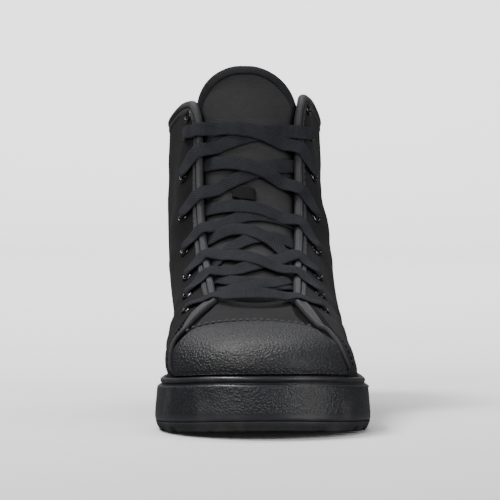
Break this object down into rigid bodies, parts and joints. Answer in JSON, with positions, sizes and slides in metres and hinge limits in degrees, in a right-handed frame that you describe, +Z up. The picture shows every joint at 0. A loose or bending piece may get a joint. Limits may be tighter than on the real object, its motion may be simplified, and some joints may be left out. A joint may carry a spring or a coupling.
{
  "type": "safety boot",
  "caption": "Left high-top safety boot in black: hollow upper with an open throat, pebbled toe cap, tongue, flat laces through metal eyelets, and a thick rubber cup sole.",
  "frame": {"origin": "on the floor under the middle of the tread's outline, which is the middle of the whole part's box", "axes": "+Z up; +Y along the foot from the toe to the heel; +X across the foot to the outer (lateral) side of this left boot"},
  "size_m": [0.1128, 0.303, 0.1903],
  "materials": {
    "tread_rubber": "matte",
    "cup_rubber": "satin",
    "insole_foam": "matte",
    "upper_nubuck": "matte",
    "toe_pebble": "satin",
    "tongue_weave": "matte",
    "keeper_webbing": "matte",
    "lace_cotton": "matte",
    "eyelet_metal": "satin"
  },
  "bodies": {
    "root": {"outsole": "tread_rubber", "cupsole": "cup_rubber", "insole": "insole_foam", "upper": "upper_nubuck", "toe_cap": "toe_pebble", "tongue": "tongue_weave", "lace_keeper": "keeper_webbing", "lace_bar": "lace_cotton", "lace_crossing_1": "lace_cotton", "lace_crossing_2": "lace_cotton", "lace_crossing_3": "lace_cotton", "lace_crossing_4": "lace_cotton", "lace_crossing_5": "lace_cotton", "lace_crossing_6": "lace_cotton", "eyelet_medial_1": "eyelet_metal", "eyelet_medial_2": "eyelet_metal", "eyelet_medial_3": "eyelet_metal", "eyelet_medial_4": "eyelet_metal", "eyelet_medial_5": "eyelet_metal", "eyelet_medial_6": "eyelet_metal", "eyelet_medial_7": "eyelet_metal", "eyelet_medial_8": "eyelet_metal", "eyelet_lateral_1": "eyelet_metal", "eyelet_lateral_2": "eyelet_metal", "eyelet_lateral_3": "eyelet_metal", "eyelet_lateral_4": "eyelet_metal", "eyelet_lateral_5": "eyelet_metal", "eyelet_lateral_6": "eyelet_metal", "eyelet_lateral_7": "eyelet_metal", "eyelet_lateral_8": "eyelet_metal"}
  },
  "joints": []
}
